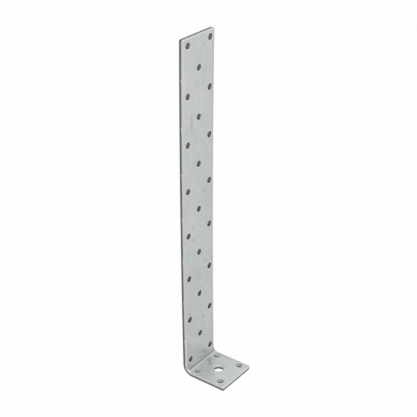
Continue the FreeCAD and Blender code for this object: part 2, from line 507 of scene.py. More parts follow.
@dataclass(frozen=True)
class Perforation:
    """All the holes of the blank: pairs and centre holes up the leg, nail and anchor holes in the flange."""

    column: float
    pairs: HoleRow
    centres: HoleRow
    flange: HoleRow
    anchor: Vector
    nail_radius: float
    anchor_radius: float
    section: CutSection
    segments: int = 48
    weld: float = 0.005 * MM

    def circles(self) -> list[tuple[Vector, float]]:
        """List the holes.

        Returns:
            The middle and radius of every hole.
        """
        sides = (-self.column, self.column)
        pairs, flange = ([replace(row, across=side) for side in sides] for row in (self.pairs, self.flange))
        rows = (*pairs, self.centres, *flange)
        nails = [(centre, self.nail_radius) for row in rows for centre in row.centres()]
        return [*nails, (self.anchor, self.anchor_radius)]

    def gap(self, centre: Vector, radius: float) -> list[Vector]:
        """Lay out the round gap that the sheet's skin leaves for one hole and its border.

        Args:
            centre: the hole's middle.
            radius: the hole's radius.

        Returns:
            The gap's points, anticlockwise.
        """
        reach = radius + self.section.border
        turns = [2.0 * math.pi * step / self.segments for step in range(self.segments)]
        return [centre + Vector((reach * math.cos(turn), reach * math.sin(turn))) for turn in turns]

    def punch(self, piece: bpy.types.Object, section: bpy.types.Object) -> None:
        """Put the tree on a blank that gives it a wall of the cut's section at every place of the pattern.

        Args:
            piece: the blank, open where the holes go.
            section: the cut's section as a curve.
        """
        graph = GeometryGraph("punch_holes", self._values(section))
        column = graph.given("Column Offset")
        sides = (column * -1.0, column)
        nails = [self._row(graph, side, name) for name in ("Pair", "Flange") for side in sides]
        nails.append(self._row(graph, 0.0, "Centre"))
        place = graph.join(0.0, graph.given("Anchor Place"), 0.0)
        anchor = graph.shape("GeometryNodeMeshLine", {"Count": 1, "Start Location": place}, mode="OFFSET")
        walls = []
        for points, radius in ((graph.together(*nails), "Nail Radius"), (anchor, "Anchor Radius")):
            wall = self._wall(graph, graph.given(radius))
            walls.append(graph.shape("GeometryNodeInstanceOnPoints", {"Points": points, "Instance": wall}))
        punched = graph.shape("GeometryNodeRealizeInstances", {"Geometry": graph.together(*walls)})
        whole = graph.together(graph.inputs["Geometry"], punched)
        graph.put_on(piece, graph.shape("GeometryNodeMergeByDistance",
                                        {"Geometry": whole, "Distance": graph.given("Weld Distance")}))

    @staticmethod
    def _row(graph: GeometryGraph, across: Feed, name: str) -> Socket:
        """Set out the points of one row.

        Args:
            graph: the punching tree.
            across: place across the strip.
            name: what the names of the row's inputs start with.

        Returns:
            The points.
        """
        start = graph.join(across, graph.given(f"{name} First"), 0.0)
        offset = graph.join(0.0, graph.given(f"{name} Pitch"), 0.0)
        feeds = {"Count": graph.given(f"{name} Count"), "Start Location": start, "Offset": offset}
        return graph.shape("GeometryNodeMeshLine", feeds, mode="OFFSET")

    @staticmethod
    def _wall(graph: GeometryGraph, radius: Number) -> Socket:
        """Draw the wall of one hole, whose points remember how near the cut they are and on which side.

        Args:
            graph: the punching tree.
            radius: the hole's radius.

        Returns:
            The wall round the origin.
        """
        ring = graph.shape("GeometryNodeCurvePrimitiveCircle",
                           {"Resolution": graph.given("Segments"), "Radius": radius}, mode="RADIUS")
        section = graph.node("GeometryNodeObjectInfo", {"Object": graph.inputs["Cut Section"]})
        wall = graph.shape("GeometryNodeCurveToMesh",
                           {"Curve": ring, "Profile Curve": section.outputs["Geometry"]})
        across, along, _ = graph.split(graph.node("GeometryNodeInputPosition").outputs[0])
        reach = graph.math("SQRT", across * across + along * along)
        nearness = 1.0 - (reach - radius) / graph.given("Border")
        way = graph.join(across / reach, along / reach, 0.0)
        for name, value, holds in ((CUT_NEARNESS, nearness, "FLOAT"), (RIM_WAY, way, "FLOAT_VECTOR")):
            feeds = {"Geometry": wall, "Name": name, "Value": value}
            wall = graph.shape("GeometryNodeStoreNamedAttribute", feeds, data_type=holds, domain="POINT")
        return wall

    def _values(self, section: bpy.types.Object) -> dict[str, object]:
        """List the inputs of the punching tree.

        Args:
            section: the cut's section as a curve.

        Returns:
            The inputs, by name.
        """
        made: dict[str, object] = {
            "Column Offset": self.column, "Anchor Place": self.anchor.y, "Nail Radius": self.nail_radius,
            "Anchor Radius": self.anchor_radius, "Segments": self.segments, "Border": self.section.border,
            "Cut Section": section, "Weld Distance": self.weld}
        for name, row in (("Pair", self.pairs), ("Centre", self.centres), ("Flange", self.flange)):
            made.update({f"{name} First": row.first, f"{name} Pitch": row.pitch, f"{name} Count": row.count})
        return made


@dataclass(frozen=True)
class StrokeMarks:
    """What the shear leaves along the strip's long edges, where one stroke meets the next."""

    first: float
    pitch: float
    count: int
    rise: float = 0.80 * MM
    fade: float = 2.2 * MM
    wander: float = 0.22 * MM
    grain: float = 0.02 * MM
    wander_scale: float = 90.0
    grain_scale: float = 900.0

    def deepening(self, place: Vector) -> float:
        """Work out how much deeper the smooth band runs than its usual depth.

        Args:
            place: a place of the outline.

        Returns:
            The depth to add there.
        """
        made = self.wander * noise.noise(Vector((place.x, place.y, 0.0)) * self.wander_scale)
        for number in range(self.count):
            under = self.first + self.pitch * number - place.y
            if under >= 0.0:
                made += self.rise * math.exp(-under / self.fade)
        return made

    def roughness(self, place: Vector, depth: float) -> float:
        """Return how far the broken band is torn back at a place of the outline."""
        return self.grain * (1.0 + noise.noise(Vector((place.x, place.y, depth)) * self.grain_scale))

    def mask(self, along: Number) -> Number:
        """Mark the strokes in a material.

        Args:
            along: place along the strip.

        Returns:
            1 right under each mark of the leg, fading to 0 below it.
        """
        graph = along.graph
        under = graph.math("FRACT", (self.first - along) / self.pitch) * (-self.pitch / self.fade)
        on_leg = graph.math("GREATER_THAN", along, self.first - self.pitch / 2.0)
        return graph.math("EXPONENT", under) * on_leg


@dataclass(frozen=True)
class OutlinePoint:
    """One point of the outline: the way into the sheet, and its share in the right edge's own section."""

    place: Vector
    inward: Vector
    rightness: float = 0.0


class Lay(Enum):
    """Which face of the sheet a skin covers."""

    STRUCK = "struck"
    FAR = "far"


@dataclass(frozen=True)
class StripBlank:
    """The flat strip before it is folded: two skins and the sheared wall round them.

    The gaps are shares of the skin's step by which its inner points keep clear of the rims and the holes.
    """

    width: float
    low_end: float
    high_end: float
    corner_radius: float
    fold: Fold
    section: CutSection
    right_section: CutSection
    holes: Perforation
    marks: StrokeMarks
    corner_zone: float = 2.6 * MM
    swell: float = 0.22 * MM
    deepest_share: float = 0.6
    edge_step: float = 1.0 * MM
    skin_step: float = 2.4 * MM
    rim_gap: float = 0.6
    end_gap: float = 0.9
    hole_gap: float = 0.45
    corner_steps: int = 8
    zone_steps: int = 3

    def stations(self, step: float) -> list[float]:
        """Space places along the strip between the corners' zones, finer ones in the fold.

        Args:
            step: the distance to keep to.

        Returns:
            The places, from the flange's end to the leg's top.
        """
        low, high = self.low_end + self.corner_zone, self.high_end - self.corner_zone
        flange = self._even(low, 0.0, step)
        leg = self._even(self.fold.length, high, step)
        return [*flange, *self.fold.rows(), *leg, high]

    @staticmethod
    def _even(start: float, end: float, step: float) -> list[float]:
        """Return evenly spaced places from the start up to the end, without the end itself."""
        parts = round((end - start) / step)
        return [start + (end - start) * number / parts for number in range(parts)]

    def outline(self) -> list[OutlinePoint]:
        """Lay the outline out.

        Returns:
            Its points, anticlockwise as seen from the struck face, starting at the lower right corner.
        """
        half = self.width / 2.0
        reach = half - self.corner_zone
        up = self.stations(self.edge_step)
        parts = round(2.0 * reach / self.edge_step)
        across = [reach - 2.0 * reach * number / parts for number in range(parts + 1)]
        sides = (
            ([(half, along) for along in up], (-1.0, 0.0), (reach, up[-1])),
            ([(x, self.high_end) for x in across], (0.0, -1.0), (-reach, up[-1])),
            ([(-half, along) for along in up[::-1]], (1.0, 0.0), (-reach, up[0])),
            ([(-x, self.low_end) for x in across], (0.0, 1.0), (reach, up[0])),
        )
        made: list[OutlinePoint] = []
        for number, (places, inward, middle) in enumerate(sides):
            rightness = 1.0 if number == 0 else 0.0
            made.extend(OutlinePoint(Vector(place), Vector(inward), rightness) for place in places)
            made.extend(self._corner(Vector(middle), number * QUARTER_TURN))
        return made

    def _corner(self, middle: Vector, start: float) -> list[OutlinePoint]:
        """Lay one corner's zone out: a short straight, the round itself and a short straight.

        All the points look into the zone's own middle, so that a ring at any inset keeps the corner's form.

        Args:
            middle: where the straight sides' ends meet, the zone's size in from both edges.
            start: the way to the first side, seen from the middle.

        Returns:
            The zone's points.
        """
        zone, radius = self.corner_zone, self.corner_radius
        straight = zone - radius
        up = [Vector((zone, straight * step / self.zone_steps)) for step in range(1, self.zone_steps)]
        turns = [QUARTER_TURN * step / self.corner_steps for step in range(self.corner_steps + 1)]
        bend = [Vector((straight + radius * math.cos(turn), straight + radius * math.sin(turn)))
                for turn in turns]
        back = [Vector((place.y, place.x)) for place in reversed(up)]
        across = Vector((math.cos(start), math.sin(start)))
        made = []
        for local in (*up, *bend, *back):
            out = across * local.x + across.orthogonal() * local.y
            made.append(OutlinePoint(middle + out, out / -zone, min(max(out.x / straight, 0.0), 1.0)))
        return made

    def wall_point(self, at: OutlinePoint, point: SectionPoint) -> Vector:
        """Place one point of the sheared wall, with the shear's own marks and the fold's swelling.

        Args:
            at: where along the outline.
            point: where in the cut's section.

        Returns:
            The point, in flat coordinates.
        """
        depth, inset = point.depth, point.inset
        if point.broken:
            left = self.section.thickness - depth
            depth += min(self.marks.deepening(at.place), self.deepest_share * left) * point.broken
            inset += self.marks.roughness(at.place, depth) * point.broken
        share = at.place.y / self.fold.length
        if 0.0 < share < 1.0:
            free = 1.0 - point.inset / self.section.border
            rise = 1.0 - 2.0 * point.depth / self.section.thickness
            inset -= self.swell * math.sin(math.pi * share) * free * rise
        place = at.place + at.inward * inset
        return Vector((place.x, place.y, -depth))

    def mesh(self) -> bpy.types.Mesh:
        """Build the blank.

        Returns:
            A mesh that is open only where the holes go.
        """
        outline = self.outline()
        shell = bmesh.new()
        nearness = shell.verts.layers.float.new(CUT_NEARNESS)
        rings = []
        for plain, right in zip(self.section.points(), self.right_section.points()):
            ring = []
            for at in outline:
                point = plain.toward(right, at.rightness)
                corner = shell.verts.new(self.wall_point(at, point))
                corner[nearness] = 1.0 - point.inset / self.section.border
                ring.append(corner)
            rings.append(ring)
        count = len(outline)
        for upper, lower in zip(rings, rings[1:]):
            for here in range(count):
                after = (here + 1) % count
                shell.faces.new((upper[here], lower[here], lower[after], upper[after]))
        self._skin(shell, rings[0], Lay.STRUCK)
        self._skin(shell, rings[-1], Lay.FAR)
        made = bpy.data.meshes.new(PIECE)
        shell.to_mesh(made)
        shell.free()
        return made

    def _skin(self, shell: bmesh.types.BMesh, rim: list[bmesh.types.BMVert], lay: Lay) -> None:
        """Cover one face of the sheet, up to the rim of the wall and the borders of the holes.

        Args:
            shell: the mesh that the skin goes into.
            rim: the wall's own points on that face.
            lay: which face it is.
        """
        loops = [[corner.co.xy for corner in rim]]
        loops += [self.holes.gap(centre, radius) for centre, radius in self.holes.circles()]
        places: list[Vector] = []
        bounds: list[list[int]] = []
        for loop in loops:
            bounds.append([len(places) + number for number in range(len(loop))])
            places.extend(loop)
        places.extend(self._inner_places())
        scaled = [place / MM for place in places]
        found, _, faces, sources, _, _ = delaunay_2d_cdt(scaled, [], bounds, INSIDE_WITH_HOLES, NEAR)
        height = 0.0 if lay is Lay.STRUCK else -self.section.thickness
        corners = []
        for place, source in zip(found, sources):
            known = [number for number in source if number < len(rim)]
            corners.append(rim[known[0]] if known else shell.verts.new((place.x * MM, place.y * MM, height)))
        for face in faces:
            order = face if lay is Lay.STRUCK else list(reversed(face))
            shell.faces.new([corners[number] for number in order])
        log.debug("skin %s: %d faces", lay.value, len(faces))

    def _inner_places(self) -> list[Vector]:
        """Spread the skin's points inside the outline, clear of the rim and of the holes.

        Returns:
            The points.
        """
        reach = self.width / 2.0 - self.section.border - self.rim_gap * self.skin_step
        parts = round(2.0 * reach / self.skin_step)
        across = [-reach + 2.0 * reach * number / parts for number in range(parts + 1)]
        end = self.end_gap * self.skin_step
        rows = [along for along in self.stations(self.skin_step)
                if self.low_end + end < along < self.high_end - end]
        clear = self.section.border + self.hole_gap * self.skin_step
        circles = self.holes.circles()
        return [place for place in (Vector((x, along)) for along in rows for x in across)
                if all((place - centre).length > radius + clear for centre, radius in circles)]


class ShaderGraph(Graph):
    """Writes a material's tree on the sheet's flat places."""

    LOW_COLOUR, HIGH_COLOUR, MIXED_COLOUR = 6, 7, 2

    def __init__(self, tree: bpy.types.NodeTree) -> None:
        """Empty the tree and read the flat places."""
        super().__init__(tree)
        self.flat = self.attribute(FLAT_PLACE)

    def attribute(self, name: str) -> Socket:
        """Return a vector that the mesh's points remember."""
        return self.node("ShaderNodeAttribute", attribute_name=name).outputs["Vector"]

    def blend(self, share: Number, low: Socket | Colour, high: Socket | Colour) -> Socket:
        """Blend two colours.

        Args:
            share: how much of the second colour there is.
            low: the first colour.
            high: the second colour.

        Returns:
            The blend.
        """
        low, high = ((*colour, 1.0) if isinstance(colour, tuple) else colour for colour in (low, high))
        feeds = {0: share, self.LOW_COLOUR: low, self.HIGH_COLOUR: high}
        return self.node("ShaderNodeMix", feeds, data_type="RGBA").outputs[self.MIXED_COLOUR]

    def scaled(self, colour: Socket | Colour, factor: Number) -> Socket:
        """Make a colour lighter or darker."""
        return self.node("ShaderNodeVectorMath", {0: colour, "Scale": factor}, operation="SCALE").outputs[0]


@dataclass(frozen=True)
class Pattern:
    """An even noise on the sheet, from about -0.5 to 0.5.

    It turns so many times in a metre and has so many finer layers. It can have another scale along the
    strip, and a shift of its own, so that two patterns differ.
    """

    scale: float
    detail: float
    along: float = 1.0
    shift: float = 0.0

    def on(self, graph: ShaderGraph) -> Number:
        """Work the noise out.

        Args:
            graph: the material's tree.

        Returns:
            The noise, with its mean at 0.
        """
        place = graph.node("ShaderNodeMapping", {"Vector": graph.flat, "Scale": (1.0, self.along, 1.0),
                                                 "Location": (self.shift, self.shift, 0.0)}).outputs[0]
        feeds = {"Vector": place, "Scale": self.scale, "Detail": self.detail}
        return graph.number("ShaderNodeTexNoise", feeds) - NOISE_MEAN


class SheetPlaces:
    """Where on the sheet a point of the surface lies, as numbers and masks of one material's tree.

    A mask is 1 at what it is named for, and 0 elsewhere. STRUCK counts in shares of the thickness.
    """

    STRUCK = Ramp(0.5, 0.4)
    LEG = Ramp(0.0, 1.0 * MM)
    HOLE = Ramp(1.9 * MM, 2.2 * MM)
    LONG_EDGE = Ramp(1.0 * MM, 0.4 * MM)
    END = Ramp(1.2 * MM, 0.4 * MM)
    FLANGE_END = Ramp(-11.2 * MM, -19.2 * MM)
    OFF_ANCHOR = Ramp(7.0 * MM, 8.0 * MM)
    LAMP_WAY = (-0.7, -0.7, 0.0)
    LIT = Ramp(0.35, 0.95)

    def __init__(self, graph: ShaderGraph, blank: StripBlank) -> None:
        """Work the places out.

        Args:
            graph: the material's tree.
            blank: the flat strip.
        """
        self.graph, self.blank = graph, blank
        self.across, self.along, height = graph.split(graph.flat)
        self.off_middle = abs(self.across)
        self.depth = height * -1.0
        self.sunk = self.depth / blank.section.thickness
        self.struck = self.STRUCK.of(self.sunk)
        inset = blank.width / 2.0 - self.off_middle
        past_front, under_top = self.along - blank.low_end, blank.high_end - self.along
        self.side = self.LONG_EDGE.of(inset)
        self.front, self.top = self.END.of(past_front), self.END.of(under_top)
        self.hole = self.HOLE.of(graph.least(inset, graph.least(past_front, under_top)))
        self.leg = self.LEG.of(self.along - blank.fold.length)
        self.flange = 1.0 - self.leg
        self.flange_end = self.FLANGE_END.of(self.along)
        feeds = {0: graph.flat, 1: (*blank.holes.anchor, 0.0)}
        off = graph.number("ShaderNodeVectorMath", feeds, gives="Value", operation="DISTANCE")
        self.off_anchor = self.OFF_ANCHOR.of(off)
        self.flange_nail = self.hole * self.off_anchor * self.flange
        self.near_cut = graph.number("ShaderNodeAttribute", gives="Fac", attribute_name=CUT_NEARNESS)
        way = graph.attribute(RIM_WAY)
        self.aside, self.upward, _ = graph.split(way)
        feeds = {0: way, 1: self.LAMP_WAY}
        toward = graph.number("ShaderNodeVectorMath", feeds, gives="Value", operation="DOT_PRODUCT")
        self.lit = self.LIT.of(toward)
        self.unlit = 1.0 - self.lit


@dataclass(frozen=True)
class Smear:
    """A darker rubbed patch on the struck face, at a slant to the strip, in millimetres and degrees."""

    across: float
    along: float
    half_width: float
    half_length: float
    slant: float
    strength: float
    fade: Ramp = Ramp(1.0, 0.2)

    def mask(self, graph: ShaderGraph) -> Number:
        """Work out how much darker the patch makes each place.

        Args:
            graph: the material's tree.

        Returns:
            The share of light that is lost.
        """
        feeds = {"Vector": graph.flat, "Location": (self.across * MM, self.along * MM, 0.0),
                 "Rotation": (0.0, 0.0, math.radians(self.slant)),
                 "Scale": (self.half_width * MM, self.half_length * MM, 1.0)}
        local = graph.node("ShaderNodeMapping", feeds, vector_type="TEXTURE")
        off = graph.number("ShaderNodeVectorMath", {0: local.outputs[0]}, gives="Value", operation="LENGTH")
        return self.fade.of(off) * self.strength


# The rubbed patches that the photo shows.
SMEARS = (
    Smear(-8.5, 292.0, 0.7, 2.0, 25.0, 0.14),
    Smear(5.8, 290.0, 2.0, 1.6, 0.0, 0.14),
    Smear(16.8, 291.0, 1.6, 5.0, 0.0, 0.09),
    Smear(5.6, 260.8, 1.6, 3.2, 15.0, 0.18),
    Smear(-8.0, 247.0, 4.0, 5.0, 0.0, 0.08),
    Smear(11.0, 238.0, 1.5, 1.6, 0.0, 0.10),
    Smear(-8.9, 230.5, 1.7, 13.0, 2.0, 0.23),
    Smear(6.0, 169.0, 3.0, 8.0, 35.0, 0.09),
    Smear(16.3, 166.0, 1.1, 10.0, 0.0, 0.13),
    Smear(16.6, 125.0, 0.8, 45.0, 0.0, 0.06),
    Smear(-8.0, 140.0, 5.0, 6.0, 0.0, 0.07),
    Smear(-8.0, 128.5, 2.0, 7.0, 59.0, 0.12),
    Smear(8.8, 102.5, 1.2, 6.0, 38.0, 0.20),
    Smear(16.8, 99.5, 1.4, 4.0, 0.0, 0.12),
    Smear(1.0, 89.0, 5.0, 4.5, 0.0, 0.08),
    Smear(-0.8, 79.7, 0.35, 16.0, 87.0, 0.05),
    Smear(-13.8, 59.5, 1.1, 5.0, 36.0, 0.19),
    Smear(3.6, 50.0, 1.5, 7.0, 34.0, 0.19),
    Smear(2.2, 20.3, 2.6, 5.0, 60.0, 0.05),
    Smear(-16.6, 9.0, 2.4, 3.4, 0.0, 0.16),
    Smear(5.2, 11.2, 2.2, 6.5, 50.0, 0.19),
    Smear(1.0, -4.5, 1.3, 4.8, -77.0, 0.20),
    Smear(4.5, -0.8, 2.8, 5.0, -36.0, 0.14),
    Smear(3.9, 2.4, 0.9, 1.0, 0.0, 0.22),
)


@dataclass(frozen=True)
class Tint:
    """Patches of another zinc, which start at a place along the strip and change up the leg."""

    colour: Colour
    pattern: Pattern
    share: Ramp
    reach: Ramp
    climb: float

    def mask(self, at: SheetPlaces, climb: Number) -> Number:
        """Return where the patches are."""
        return self.share.of(self.pattern.on(at.graph) + climb * self.climb) * self.reach.of(at.along)


@dataclass(frozen=True)
class ZincFaces:
    """Dull zinc: cool, warm and blue patches with specks, rims and rubbed patches from tools and hands, and
    painted light and shade on the faces.

    A tone, or a ramp's peak, is the share by which the zinc is lighter or, below 0, darker.
    """

    cool: Colour = (0.546, 0.582, 0.574)
    warm: Tint = Tint((0.569, 0.585, 0.567), Pattern(62.0, 2.0, 0.6, 1.0), Ramp(-0.03, 0.15),
                      Ramp(-12.0 * MM, 30.0 * MM), 0.06)
    blue: Tint = Tint((0.546, 0.580, 0.591), Pattern(48.0, 2.0, 0.8, 7.0), Ramp(-0.06, 0.12),
                      Ramp(12.0 * MM, 50.0 * MM), -0.10)
    climb_start: float = 50.0 * MM
    # Painted light: the zinc is lighter up the leg.
    climb_light_tone: float = 0.05
    clouds: Pattern = Pattern(32.0, 1.0, 0.6, 5.0)
    cloud_tone: float = 0.17
    mottle_tone: float = 0.19
    grain_tone: float = 0.028
    specks: Pattern = Pattern(620.0, 3.0, 0.35, 2.0)
    speck_tone: Ramp = Ramp(0.17, 0.25, -0.08)
    # Painted shade: the struck face darker towards its right edge.
    right_side_shade: Ramp = Ramp(14.0 * MM, 17.2 * MM, -0.06)
    rim: Ramp = Ramp(0.1, 0.6)
    rim_tone: float = 0.02
    right_rim: Ramp = Ramp(17.0 * MM, 18.0 * MM, -0.22)
    lit_rim: Ramp = Ramp(0.3, 0.8, 0.12)
    # Painted light: the struck face paler along a slant at the foot of the leg, for the flange's reflection.
    foot_slope: float = 0.85
    foot: Ramp = Ramp(47.0 * MM, 36.0 * MM, 0.18)
    foot_core: Ramp = Ramp(37.0 * MM, 31.0 * MM, -0.03)
    foot_start: Ramp = Ramp(3.0 * MM, 8.0 * MM)
    # Painted shade: the flange darker where it runs into the fold, under the leg.
    painted_fold_shade: Ramp = Ramp(-25.2 * MM, -3.2 * MM, -0.085)
    fold_start: Ramp = Ramp(2.8 * MM, -0.2 * MM)
    smears: tuple[Smear, ...] = SMEARS

    def colour(self, at: SheetPlaces, mottle: Number, grain: Number) -> Socket:
        """Paint the faces.

        Args:
            at: where on the sheet.
            mottle: the zinc's own soft pattern.
            grain: the zinc's fine pattern.

        Returns:
            The colour.
        """
        graph = at.graph
        climb = graph.number("ShaderNodeMapRange", {"Value": at.along, "From Min": self.climb_start,
                                                    "From Max": at.blank.high_end})
        plain = graph.blend(self.warm.mask(at, climb), self.cool, self.warm.colour)
        colour = graph.blend(self.blue.mask(at, climb), plain, self.blue.colour)
        # The climb's tone is painted light, lighter up the leg.
        tone = 1.0 + mottle * self.mottle_tone + grain * self.grain_tone + climb * self.climb_light_tone
        tone = tone + self.clouds.on(graph) * self.cloud_tone + self.speck_tone.of(self.specks.on(graph))
        return graph.scaled(colour, self._worked(at) * at.struck + tone)

    def _worked(self, at: SheetPlaces) -> Number:
        """Work out the tones of the struck face alone.

        Args:
            at: where on the sheet.

        Returns:
            How much lighter the rims and the rubbed patches make the face, with the painted shade along the
            right side and beside the fold, the painted light at the foot of the leg and the painted
            highlight on the lit side of the rims.
        """
        # Painted light at the foot of the leg.
        slope = (at.across + at.blank.width / 2.0) * self.foot_slope + at.along
        foot = (self.foot.of(slope) + self.foot_core.of(slope)) * self.foot_start.of(at.along)
        # Painted shade on the flange beside the fold.
        fold_shade = self.painted_fold_shade.of(at.along) * self.fold_start.of(at.along)
        rim = self.rim.of(at.near_cut) * (self.right_rim.of(at.across) + self.rim_tone)
        # Painted shade along the right side, and painted highlights on the lit side of the rims.
        tone = self.right_side_shade.of(at.across) + foot + fold_shade + rim + at.lit * self.lit_rim.of(at.near_cut)
        for smear in self.smears:
            tone = tone - smear.mask(at.graph)
        return tone


@dataclass(frozen=True)
class FoldFinish:
    """Colours inside the fold: a warm lower flank, painted shade on the upper one and a dark line along the
    crease.

    The dark line's reach counts in half widths of the groove, and the painted shade of the upper flank
    starts at the crease.
    """

    # A dark line along the crease, darker towards the left.
    crease_dark: Colour = (0.210, 0.212, 0.202)
    crease_dark_reach: Ramp = Ramp(1.5, 0.3)
    crease_dark_share: float = 0.69
    crease_dark_left: Ramp = Ramp(-4.0 * MM, -14.0 * MM, 0.25)
    # A warm lower flank between the flange and the crease, paler towards its ends.
    lower_flank_colour: Colour = (0.506, 0.485, 0.449)
    lower_flank_start: Ramp = Ramp(1.3 * MM, 2.9 * MM, 0.8)
    lower_flank_ends: Ramp = Ramp(4.0 * MM, 13.0 * MM, 0.19)
    # Painted shade: the upper flank darker, from the crease up towards the leg.
    upper_flank_shade: Ramp = Ramp(0.0, 1.2 * MM, -0.23)
    upper_flank_shade_end: Ramp = Ramp(10.8 * MM, 6.8 * MM)

    def colour(self, at: SheetPlaces, zinc: Socket) -> Socket:
        """Paint the fold over the zinc.

        Args:
            at: where on the sheet.
            zinc: the faces' colour.

        Returns:
            The colour.
        """
        graph, fold = at.graph, at.blank.fold
        half = fold.crease.groove_half_width
        beyond = at.along - fold.crease_place
        reach = self.crease_dark_reach.of(abs(beyond) / half) * fold.crease.left.of(at.across)
        # The dark line along the crease.
        crease_dark = reach * at.struck * (self.crease_dark_left.of(at.across) + self.crease_dark_share)
        flank = self.lower_flank_start.of(at.along) * Ramp(half, 0.0).of(beyond) * at.struck
        # Painted shade on the upper flank.
        upper_shade = self.upper_flank_shade.of(beyond) * self.upper_flank_shade_end.of(at.along) * at.struck
        lower_flank_paint = graph.scaled(self.lower_flank_colour, self.lower_flank_ends.of(at.off_middle) + 1.0)
        return graph.blend(crease_dark, graph.blend(flank, graph.scaled(zinc, upper_shade + 1.0), lower_flank_paint), self.crease_dark)


@dataclass(frozen=True)
class CutColours:
    """The smooth and the broken band of a cut."""

    smooth: Colour
    broken: Colour


@dataclass(frozen=True)
class CutFinish:
    """A smooth bright band and a dark broken one on every cut, with the line between them, and painted light
    and shade in the holes.

    Each deeper is how much further down that line runs at one kind of cut. A tone, or a ramp's peak, is the
    share by which a cut is lighter or, below 0, darker.
    """

    edge: CutColours = CutColours((0.672, 0.682, 0.669), (0.167, 0.165, 0.160))
    anchor: CutColours = CutColours((0.840, 0.825, 0.785), (0.195, 0.182, 0.167))
    flange_nail: CutColours = CutColours((0.640, 0.625, 0.585), (0.215, 0.200, 0.183))
    # Painted shade: the walls of the leg's holes near black, for the dark inside of the holes.
    leg_nail_shade: CutColours = CutColours((0.090, 0.090, 0.088), (0.105, 0.107, 0.108))
    front_rim: Colour = (0.180, 0.173, 0.163)
    rear_rim: Colour = (0.330, 0.322, 0.305)
    rim_depth: Ramp = Ramp(1.0 * MM, 0.7 * MM)
    line: Ramp = Ramp(2.0 * MM, 2.2 * MM)
    tearing: Pattern = Pattern(1200.0, 2.0, shift=3.0)
    tear_depth: float = 0.38 * MM
    right_deeper: Ramp = Ramp(17.4 * MM, 19.2 * MM, -1.3 * MM)
    side_deeper: float = -0.19 * MM
    front_deeper: float = 0.05 * MM
    top_deeper: float = -0.55 * MM
    anchor_deeper: float = -0.15 * MM
    flange_nail_deeper: float = -0.15 * MM
    # Painted highlight: the smooth band of the flange's front end lighter.
    front_smooth_highlight: float = 0.09
    top_tone: float = -0.14
    flange_side_tone: float = -0.06
    flange_side_broken: float = 0.20
    # Painted light: the smooth band of the flange's front nail holes lighter.
    front_nail_light: float = 0.42
    # Painted highlight: the rear nail holes lighter on the right side of their walls.
    rear_right_highlight: Ramp = Ramp(0.50, 0.95, 0.40)
    # Painted shade: the anchor hole darker on the right side of its wall.
    anchor_right_shade: Ramp = Ramp(0.75, 0.95, -0.14)
    # Painted light and shade in the leg's holes: lighter in the higher holes, and darker on the lowest part
    # of each wall.
    leg_climb_light: Ramp = Ramp(60.0 * MM, 300.0 * MM, 0.32)
    leg_low_wall_shade: float = 0.75
    leg_wall_light: Ramp = Ramp(-1.0, -0.35, 1.25)

    def broken(self, at: SheetPlaces) -> Number:
        """Find the broken band.

        Args:
            at: where on the sheet.

        Returns:
            1 where a cut is broken and not smooth.
        """
        marks = at.blank.marks
        side = marks.mask(at.along) * marks.rise + self.side_deeper
        deeper = (self.right_deeper.of(at.across) + at.side * side + at.front * self.front_deeper
                  + at.top * self.top_deeper + (1.0 - at.off_anchor) * self.anchor_deeper
                  + at.flange_nail * self.flange_nail_deeper)
        return self.line.of(at.depth + self.tearing.on(at.graph) * self.tear_depth - deeper)

    def colour(self, at: SheetPlaces, broken: Number) -> Socket:
        """Paint the cuts along the outline, in the flange's holes and in the leg's holes.

        Args:
            at: where on the sheet.
            broken: where a cut is broken and not smooth.

        Returns:
            The colour.
        """
        graph = at.graph
        # The third blend is the painted shade of the leg's holes.
        outline, anchor, leg_hole_shade = (graph.blend(broken, cut.smooth, cut.broken)
                                    for cut in (self.edge, self.anchor, self.leg_nail_shade))
        # Painted light inside the front nail holes.
        sheared = graph.scaled(self.flange_nail.smooth, at.flange_end * self.front_nail_light + 1.0)
        nail = graph.blend(broken, sheared, self.flange_nail.broken)
        rim = graph.blend(at.flange_end, self.rear_rim, self.front_rim)
        # Painted highlight on the right side of the rear nail holes.
        right_highlight = (1.0 - at.flange_end) * self.rear_right_highlight.of(at.aside)
        rimmed = graph.scaled(graph.blend(self.rim_depth.of(at.depth), nail, rim), right_highlight + 1.0)
        # Painted shade on the right side of the anchor hole.
        anchor = graph.scaled(anchor, self.anchor_right_shade.of(at.aside) + 1.0)
        lying = graph.blend(at.off_anchor, anchor, rimmed)
        # Painted light and shade on the walls of the leg's holes.
        light = (self.leg_climb_light.of(at.along) + 1.0) * (self.leg_wall_light.of(at.upward) + self.leg_low_wall_shade)
        holes = graph.blend(at.leg, lying, graph.scaled(leg_hole_shade, light))
        # Painted highlight on the front end's smooth band.
        front = at.front * (1.0 - broken) * self.front_smooth_highlight
        side = at.side * at.flange * (broken * self.flange_side_broken + self.flange_side_tone)
        cuts = graph.blend(at.hole, outline, holes)
        return graph.scaled(cuts, at.top * self.top_tone + front + side + 1.0)


